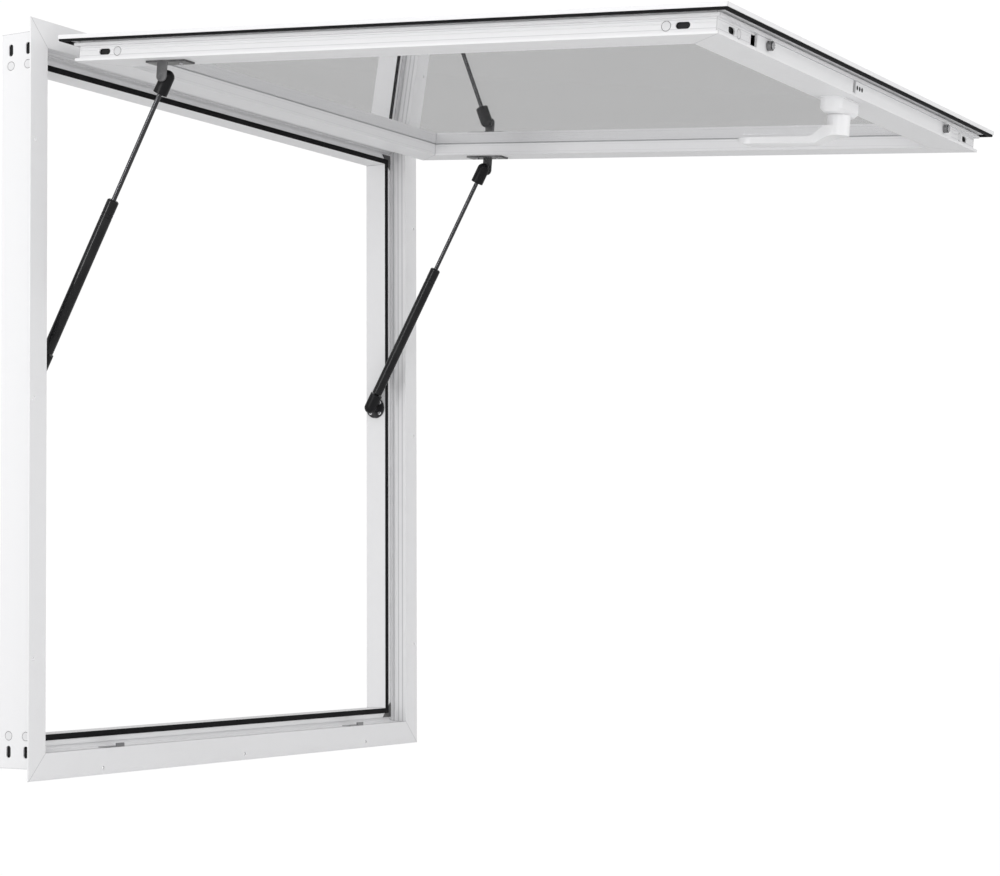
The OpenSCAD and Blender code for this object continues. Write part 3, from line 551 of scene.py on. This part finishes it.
PLATED = finish_of(
    "plated_steel", (0.62, 0.62, 0.64), 0.24, metal=1.0, wear=0.3, worn=(0.85, 0.85, 0.85), dust=0.05
)
DARK_SCREW = finish_of(
    "dark_screw_steel", (0.035, 0.035, 0.037), 0.3, metal=1.0, wear=0.5, worn=(0.5, 0.5, 0.5)
)
ROLLER_STEEL = finish_of(
    "roller_steel", (0.22, 0.22, 0.225), 0.2, metal=1.0, wear=0.6, worn=(0.8, 0.8, 0.8)
)
KEEPER_METAL = finish_of(
    "keeper_zinc", (0.35, 0.35, 0.36), 0.3, metal=1.0, wear=0.3, worn=(0.8, 0.8, 0.8), lines=ALONG_X
)
# Near black on aluminium keys: painted shade of the dark chambers that the profile's slots look into.
KEY_METAL_PAINTED_SHADE = finish_of("corner_key_metal", (0.012, 0.012, 0.013), 0.6, metal=0.3, dust=0.02)
# Plug paint with a rim of painted shade.
PLUG_PAINT_SHADED_RIM = finish_of("frame_plug_paint", PLUG_WHITE, 0.42, dust=0.05, rim_shade=PLUG_RIM_SHADE)
SASH_PLUG_PAINT_SHADED_RIM = finish_of(
    "sash_plug_paint", PLUG_WHITE, 0.42, dust=0.05, rim_shade=PLUG_RIM_SHADE, opening=OPEN_ANGLE
)
# Lighter than the jamb plates' same black paint: a painted sheen, the grey that the tabs reflect from the
# bright room.
STILE_PLATE_PAINT_AND_SHEEN = finish_of(
    "stile_plate_paint",
    (0.06, 0.06, 0.062),
    0.3,
    wear=0.8,
    worn=(0.45, 0.45, 0.46),
    grain=(700.0, 0.15),
)


def make_glass():
    """Reflective solar glass: a strong mirror at a slant, over a faint grey see-through body."""
    mirror_dark, mirror_light = (0.86, 0.86, 0.865, 1), (0.88, 0.88, 0.885, 1)
    body_tint = (0.9, 0.9, 0.905, 1)
    mirror_head_on, mirror_at_slant = 0.16, 0.86
    material, tree, shader = new_material("solar_glass")
    shader.inputs["Metallic"].default_value = 1.0
    cloud = ramp(tree, noise(tree, object_coordinates(tree), 3.0, 4), 0.3, 0.7)
    tint = mix_colours(tree, cloud, mirror_dark, mirror_light)
    tree.links.new(tint, shader.inputs["Base Color"])
    grain = place_group(tree, FINE_GRAIN, Scale=30.0, Depth=0.0, Variation=0.01, Roughness=0.015)
    tree.links.new(grain.outputs["Roughness"], shader.inputs["Roughness"])
    slant = tree.nodes.new("ShaderNodeLayerWeight")
    slant.inputs["Blend"].default_value = 0.5
    strength = ramp(tree, slant.outputs["Facing"], 0.1, 0.75)
    strength.node.inputs["To Min"].default_value = mirror_head_on
    strength.node.inputs["To Max"].default_value = mirror_at_slant
    clear = tree.nodes.new("ShaderNodeBsdfTransparent")
    clear.inputs["Color"].default_value = body_tint
    # A shadow ray meets the pane's tint and skips its mirror.
    shadow = tree.nodes.new("ShaderNodeLightPath").outputs["Is Shadow Ray"]
    seen = math_node(tree, "SUBTRACT", 1.0, shadow)
    amount = math_node(tree, "MULTIPLY", strength, seen)
    both = mix_shaders(tree, amount, clear.outputs[0], shader.outputs[0])
    tree.links.new(both, tree.nodes["Material Output"].inputs["Surface"])
    return material


GLASS = make_glass()

# ------------------------------------------------------------------ mesh helpers


def new_object(name, data):
    thing = bpy.data.objects.new(name, data)
    bpy.context.scene.collection.objects.link(thing)
    return thing


def settle(piece):
    """Takes a piece's modifiers into its mesh."""
    graph = bpy.context.evaluated_depsgraph_get()
    mesh = bpy.data.meshes.new_from_object(piece.evaluated_get(graph))
    piece.modifiers.clear()
    piece.data = mesh


def joined_shell(node):
    """A CAD node's loose triangles, joined at their corners and merged into flat faces."""
    shell = bmesh.new()
    shell.from_mesh(NODES[node].data)
    bmesh.ops.remove_doubles(shell, verts=shell.verts, dist=WELD_DISTANCE)
    bmesh.ops.dissolve_limit(shell, angle_limit=FLAT_ANGLE, verts=shell.verts, edges=shell.edges)
    return shell


def ease_edges(piece, width):
    """Smooth shading between sharp edges, and those edges eased with the flat faces' own normals."""
    for polygon in piece.data.polygons:
        polygon.use_smooth = True
    piece.data.set_sharp_from_angle(angle=SHARP_ANGLE)
    bevel = piece.modifiers.new("edge", "BEVEL")
    bevel.width = width * MM
    bevel.segments = BEVEL_SEGMENTS
    bevel.limit_method = "ANGLE"
    bevel.angle_limit = EASED_ANGLE
    bevel.use_clamp_overlap = True
    bevel.harden_normals = True
    settle(piece)


def fasten(piece, node, body):
    """Sets a piece on its body in place of its CAD node."""
    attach(piece, body)
    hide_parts(node)


def eased(name, node, width, body, slot, material):
    """A copy of a CAD node with its faces joined and its sharp edges eased by the width."""
    mesh = NODES[node].data.copy()
    shell = joined_shell(node)
    shell.to_mesh(mesh)
    shell.free()
    mesh.materials.clear()
    mesh.materials.append(material)
    piece = new_object(name, mesh)
    ease_edges(piece, width)
    fasten(piece, node, body)


def islands_in(shell):
    """The corners of each separate solid in a mesh."""
    left = set(shell.verts)
    groups = []
    while left:
        stack = [left.pop()]
        group = set(stack)
        while stack:
            for edge in stack.pop().link_edges:
                for vert in edge.verts:
                    if vert in left:
                        left.remove(vert)
                        group.add(vert)
                        stack.append(vert)
        groups.append(group)
    return groups


def pattern_from(node, width):
    """One of a CAD node's equal solids with eased edges, and the middle of each solid."""
    shell = joined_shell(node)
    groups = islands_in(shell)
    boxes = [
        [(min(v.co[i] for v in group), max(v.co[i] for v in group)) for i in range(3)]
        for group in groups
    ]
    middles = [Vector([(low + high) / 2 for low, high in box]) for box in boxes]
    order = sorted(range(len(groups)), key=lambda i: tuple(round(c, 5) for c in middles[i]))
    kept = groups[order[0]]
    others = [vert for vert in shell.verts if vert not in kept]
    bmesh.ops.delete(shell, geom=others, context="VERTS")
    bmesh.ops.translate(shell, verts=shell.verts, vec=-middles[order[0]])
    mesh = bpy.data.meshes.new(node + "_one")
    shell.to_mesh(mesh)
    shell.free()
    pattern = new_object(node + "_one", mesh)
    ease_edges(pattern, width)
    return pattern, [middles[i] for i in order]


def make_repeater():
    """Geometry nodes: one pattern piece set at every point, turned as the point's attribute says."""
    tree = bpy.data.node_groups.new("PieceAtEachPlace", "GeometryNodeTree")
    tree.interface.new_socket("Places", in_out="INPUT", socket_type="NodeSocketGeometry")
    for label, kind in (
        ("Pattern", "NodeSocketObject"),
        ("Size", "NodeSocketFloat"),
        ("Finish", "NodeSocketMaterial"),
    ):
        tree.interface.new_socket(label, in_out="INPUT", socket_type=kind)
    tree.interface.new_socket("Pieces", in_out="OUTPUT", socket_type="NodeSocketGeometry")
    start = tree.nodes.new("NodeGroupInput")
    end = tree.nodes.new("NodeGroupOutput")
    pattern = tree.nodes.new("GeometryNodeObjectInfo")
    tree.links.new(start.outputs["Pattern"], pattern.inputs["Object"])
    turn = tree.nodes.new("GeometryNodeInputNamedAttribute")
    turn.data_type = "FLOAT_VECTOR"
    turn.inputs["Name"].default_value = "turn"
    place = tree.nodes.new("GeometryNodeInstanceOnPoints")
    tree.links.new(start.outputs["Places"], place.inputs["Points"])
    tree.links.new(pattern.outputs["Geometry"], place.inputs["Instance"])
    tree.links.new(turn.outputs["Attribute"], place.inputs["Rotation"])
    tree.links.new(start.outputs["Size"], place.inputs["Scale"])
    real = tree.nodes.new("GeometryNodeRealizeInstances")
    tree.links.new(place.outputs["Instances"], real.inputs["Geometry"])
    finish = tree.nodes.new("GeometryNodeSetMaterial")
    tree.links.new(real.outputs["Geometry"], finish.inputs["Geometry"])
    tree.links.new(start.outputs["Finish"], finish.inputs["Material"])
    tree.links.new(finish.outputs["Geometry"], end.inputs["Pieces"])
    return tree


REPEATER = make_repeater()


def repeated(name, node, width, body, slot, material, mirrored):
    """A CAD node of equal solids, made again from one of them by the repeater."""
    pattern, places = pattern_from(node, width)
    mesh = bpy.data.meshes.new(name)
    mesh.from_pydata(places, [], [])
    turns = mesh.attributes.new("turn", "FLOAT_VECTOR", "POINT")
    for i, place in enumerate(places):
        far_side = mirrored and place.x * places[0].x < 0
        turns.data[i].vector = (0, 0, math.pi if far_side else 0)
    piece = new_object(name, mesh)
    nodes = piece.modifiers.new("repeat", "NODES")
    nodes.node_group = REPEATER
    values = {"Pattern": pattern, "Size": 1.0, "Finish": material}
    for item in REPEATER.interface.items_tree:
        if item.item_type == "SOCKET" and item.in_out == "INPUT" and item.name in values:
            nodes[item.identifier] = values[item.name]
    settle(piece)
    spare = pattern.data
    bpy.data.objects.remove(pattern)
    bpy.data.meshes.remove(spare)
    fasten(piece, node, body)


# ------------------------------------------------------------------ pieces
# In each row: the piece's name, its CAD node, how far its edges are eased in millimetres, its
# body, its slot and its finish.

COAT = "white_powder_coat"
EXTRUSIONS = [
    ("head_extrusion", "frame_head", 0.5, "frame", COAT, POWDER_FRAME_RAIL_SHADED),
    ("sill_extrusion", "frame_sill", 0.5, "frame", COAT, POWDER_FRAME_RAIL_SHADED),
    ("jamb_extrusion_left", "frame_jamb_left", 0.5, "frame", COAT, POWDER_JAMB_SHADED),
    ("jamb_extrusion_right", "frame_jamb_right", 0.5, "frame", COAT, POWDER_JAMB_SHADED),
    ("top_rail_extrusion", "sash_top_rail", 0.5, "sash", COAT, POWDER_SASH_RAIL_SHADED),
    ("bottom_rail_extrusion", "sash_bottom_rail", 0.5, "sash", COAT, POWDER_SASH_RAIL_SHADED),
    ("stile_extrusion_left", "sash_stile_left", 0.5, "sash", COAT, POWDER_STILE_SHADED),
    ("stile_extrusion_right", "sash_stile_right", 0.5, "sash", COAT, POWDER_STILE_SHADED),
    ("bead_strips", "glazing_beads", 0.3, "sash", COAT, POWDER_BEAD_SHADED),
]
LOCK = [
    ("lock_bar_strip_left", "lock_bar_left", 0.25, "lock_bar", COAT, POWDER_RAIL),
    ("lock_bar_strip_right", "lock_bar_right", 0.25, "lock_bar", COAT, POWDER_RAIL),
    ("rack_block", "lock_bar_rack", 0.1, "lock_bar", "black_plastic", PLASTIC),
    ("roller_pin_heads", "roller_pins", 0.12, "lock_bar", "bright_steel", PLATED),
    ("catch_roller_left", "roller_left", 0.25, "roller_left", "bright_steel", ROLLER_STEEL),
    ("catch_roller_right", "roller_right", 0.25, "roller_right", "bright_steel", ROLLER_STEEL),
    ("keeper_plate_left", "keeper_left", 0.2, "frame", "bright_steel", KEEPER_METAL),
    ("keeper_plate_right", "keeper_right", 0.2, "frame", "bright_steel", KEEPER_METAL),
]
HINGES = [
    ("hinge_leaves_fixed", "hinge_frame_leaves", 0.3, "frame", COAT, POWDER_RAIL),
    ("hinge_leaves_moving", "hinge_sash_leaves", 0.3, "sash", COAT, POWDER_RAIL),
    ("hinge_axles", "hinge_pins", 0.25, "frame", "bright_steel", PLATED),
]
CORNERS = [
    ("frame_plugs", "frame_corner_plugs", 0.7, "frame", "plain_aluminium", PLUG_PAINT_SHADED_RIM),
    ("sash_plugs", "sash_corner_plugs", 0.7, "sash", "plain_aluminium", SASH_PLUG_PAINT_SHADED_RIM),
    ("frame_keys", "frame_corner_keys", 0.4, "frame", "plain_aluminium", KEY_METAL_PAINTED_SHADE),
    ("sash_keys", "sash_corner_keys", 0.4, "sash", "plain_aluminium", KEY_METAL_PAINTED_SHADE),
]
SEALS = [
    ("frame_seal", "frame_gasket", 0.2, "frame", "black_rubber", RUBBER),
    ("lip_seal", "sash_lip_gasket", 0.2, "sash", "black_rubber", RUBBER),
    ("corner_pads", "rebate_corner_pads", 0.2, "frame", "black_plastic", PAD_PLASTIC),
]
GLAZING = [
    ("pane_seal_outer", "glazing_seal_outer", 0.2, "sash", "grey_silicone", SILICONE),
    ("pane_seal_inner", "glazing_seal_inner", 0.2, "sash", "grey_silicone", SILICONE),
    ("pane_blocks", "setting_blocks", 0.2, "sash", "black_rubber", RUBBER),
    ("pane", "glass_pane", 0.4, "sash", "clear_glass", GLASS),
]
HANDLE = [
    ("rose_cover", "handle_rose", 0.5, "sash", "white_handle_paint", HANDLE_PAINT),
    ("rose_base", "handle_base_plate", 0.2, "sash", "bright_steel", PLATED),
    ("drive_shaft", "handle_spindle", 0.2, "handle", "bright_steel", PLATED),
    ("drive_quadrant", "drive_gear", 0.08, "handle", "bright_steel", PLATED),
    ("lever", "handle_lever", 0.8, "handle", "white_handle_paint", HANDLE_PAINT),
]


def strut_pieces(hand):
    """The rows of one gas strut: its two plates, the rod's pieces and the tube's."""
    rod, tube = f"strut_rod_{hand}", f"strut_tube_{hand}"
    low_plate, high_plate = f"strut_lower_bracket_{hand}", f"strut_upper_bracket_{hand}"
    low_socket, high_socket = f"strut_lower_socket_{hand}", f"strut_upper_socket_{hand}"
    return [
        (f"jamb_plate_{hand}", low_plate, 0.4, "frame", "black_steel", BRACKET_PAINT),
        (f"stile_plate_{hand}", high_plate, 0.4, "sash", "black_steel", STILE_PLATE_PAINT_AND_SHEEN),
        (f"rod_{hand}", rod, 0.3, rod, "bright_steel", ROD_STEEL),
        (f"piston_{hand}", f"strut_piston_{hand}", 0.3, rod, "bright_steel", PLATED),
        (f"rod_socket_{hand}", high_socket, 0.5, rod, "black_plastic", PLASTIC),
        (f"tube_{hand}", tube, 0.3, tube, "black_steel", TUBE_PAINT),
        (f"tube_socket_{hand}", low_socket, 0.5, tube, "black_plastic", PLASTIC),
    ]


STUDS = [
    ("ball_studs_lower", "strut_lower_studs", 0.3, "frame", "bright_steel", PLATED),
    ("ball_studs_upper", "strut_upper_studs", 0.3, "sash", "bright_steel", STILE_PLATE_PAINT_AND_SHEEN),
]
STRUTS = strut_pieces("left") + strut_pieces("right") + STUDS
for row in EXTRUSIONS + LOCK + HINGES + CORNERS + SEALS + GLAZING + HANDLE + STRUTS:
    eased(*row)

# The last word of a screw row says whether its screws face opposite ways on the left and right.
SCREWS = [
    ("keeper_screw_row", "keeper_screws", 0.08, "frame", "bright_steel", PLATED, False),
    ("hinge_screws_fixed", "hinge_frame_screws", 0.08, "frame", "bright_steel", PLATED, False),
    ("jamb_plate_screws", "strut_lower_screws", 0.08, "frame", "bright_steel", PLATED, True),
    ("hinge_screws_moving", "hinge_sash_screws", 0.08, "sash", "bright_steel", PLATED, False),
    ("stile_plate_screws", "strut_upper_screws", 0.08, "sash", "bright_steel", PLATED, False),
    ("rose_base_screws", "handle_base_screws", 0.08, "sash", "bright_steel", PLATED, False),
    ("lock_bar_screw_row", "lock_bar_screws", 0.08, "lock_bar", "bright_steel", DARK_SCREW, False),
]
for row in SCREWS:
    repeated(*row)

# ------------------------------------------------------------------ stage, light and camera


def make_floor_paint():
    """White to the eye and grey in a mirror, with a trace of shadow. From below it isn't there."""
    shade_free = 0.97
    paint, tree, shader = new_material("floor_paint")
    shader.inputs["Base Color"].default_value = (0.88, 0.88, 0.88, 1)
    shader.inputs["Roughness"].default_value = 0.9
    shader.inputs["Specular IOR Level"].default_value = 0.0
    white = tree.nodes.new("ShaderNodeEmission")
    ray = tree.nodes.new("ShaderNodeLightPath")
    eye, mirror = ray.outputs["Is Camera Ray"], ray.outputs["Is Glossy Ray"]
    dimmed = math_node(tree, "MULTIPLY", mirror, EYE_WHITE - MIRROR_GREY)
    tree.links.new(math_node(tree, "SUBTRACT", EYE_WHITE, dimmed), white.inputs["Strength"])
    looked_at = math_node(tree, "MULTIPLY", math_node(tree, "MAXIMUM", eye, mirror), shade_free)
    above = mix_shaders(tree, looked_at, shader.outputs[0], white.outputs[0])
    nothing = tree.nodes.new("ShaderNodeBsdfTransparent").outputs[0]
    both = mix_shaders(tree, surface(tree, "Backfacing"), above, nothing)
    tree.links.new(both, tree.nodes["Material Output"].inputs["Surface"])
    return paint


def make_floor():
    """A pale floor just under the window, wide enough to fade into the backdrop."""
    reach, gap = 6, 0.5 * MM
    height = cad_low[2] - gap
    sides = ((-reach, -reach), (reach, -reach), (reach, reach), (-reach, reach))
    corners = [(x, y, height) for x, y in sides]
    mesh = bpy.data.meshes.new("floor")
    mesh.from_pydata(corners, [], [(0, 1, 2, 3)])
    mesh.materials.append(make_floor_paint())
    new_object("floor", mesh)


# In each row: the lamp's name, its place, what it aims at, its width and height, its watts, and
# whether the eye and mirrors see it.
LAMPS = [
    ("key", (-3.4, -1.8, 1.6), (0, -0.3, 0.1), (2.2, 2.2), 34, True),
    ("strip", (-3.2, 0.9, 0.1), (0, -0.1, 0.1), (0.25, 1.6), 22, True),
    ("low", (-0.8, -2.6, -0.35), (0.1, -0.5, 0.45), (2.0, 1.0), 9, False),
    ("front", (0.6, -3.6, 1.0), (0, -0.3, 0.0), (2.5, 2.0), 12, True),
]


def make_lamp(name, place, aim, size, power, seen):
    light = bpy.data.lights.new(name, "AREA")
    light.shape = "RECTANGLE"
    light.size, light.size_y = size
    light.energy = power
    lamp = new_object(name, light)
    lamp.location = place
    lamp.rotation_euler = (Vector(aim) - Vector(place)).to_track_quat("-Z", "Y").to_euler()
    lamp.visible_camera = seen
    lamp.visible_glossy = seen


def make_studio():
    """A white room that looks grey in a mirror."""
    world = bpy.data.worlds.new("studio")
    bpy.context.scene.world = world
    world.use_nodes = True
    tree = world.node_tree
    back = tree.nodes["Background"]
    back.inputs["Color"].default_value = (1, 1, 1, 1)
    ray = tree.nodes.new("ShaderNodeLightPath")
    mirror = math_node(tree, "MULTIPLY", ray.outputs["Is Glossy Ray"], MIRROR_GREY - ROOM_LIGHT)
    eye = math_node(tree, "MULTIPLY", ray.outputs["Is Camera Ray"], EYE_WHITE - ROOM_LIGHT)
    power = math_node(tree, "ADD", math_node(tree, "ADD", mirror, eye), ROOM_LIGHT)
    tree.links.new(power, back.inputs["Strength"])


def make_camera():
    """A long lens on the left, level with the lower half of the frame."""
    place = Vector((-2864.2, -1945.2, -233.2)) * MM
    yaw, pitch = math.radians(57.1018), math.radians(1.8241)
    across, along = math.sin(yaw), math.cos(yaw)
    ahead = Vector((across * math.cos(pitch), along * math.cos(pitch), math.sin(pitch)))
    right = Vector((along, -across, 0))
    up = right.cross(ahead)
    data = bpy.data.cameras.new("camera")
    data.sensor_width = 36
    data.lens = 90.2448
    data.shift_x, data.shift_y = 0.2, 0.07
    camera = new_object("camera", data)
    basis = Matrix((right, up, -ahead)).transposed().to_4x4()
    camera.matrix_world = Matrix.Translation(place) @ basis
    bpy.context.scene.camera = camera


make_floor()
make_studio()
for lamp in LAMPS:
    make_lamp(*lamp)
make_camera()
bpy.context.scene.view_settings.view_transform = "Standard"
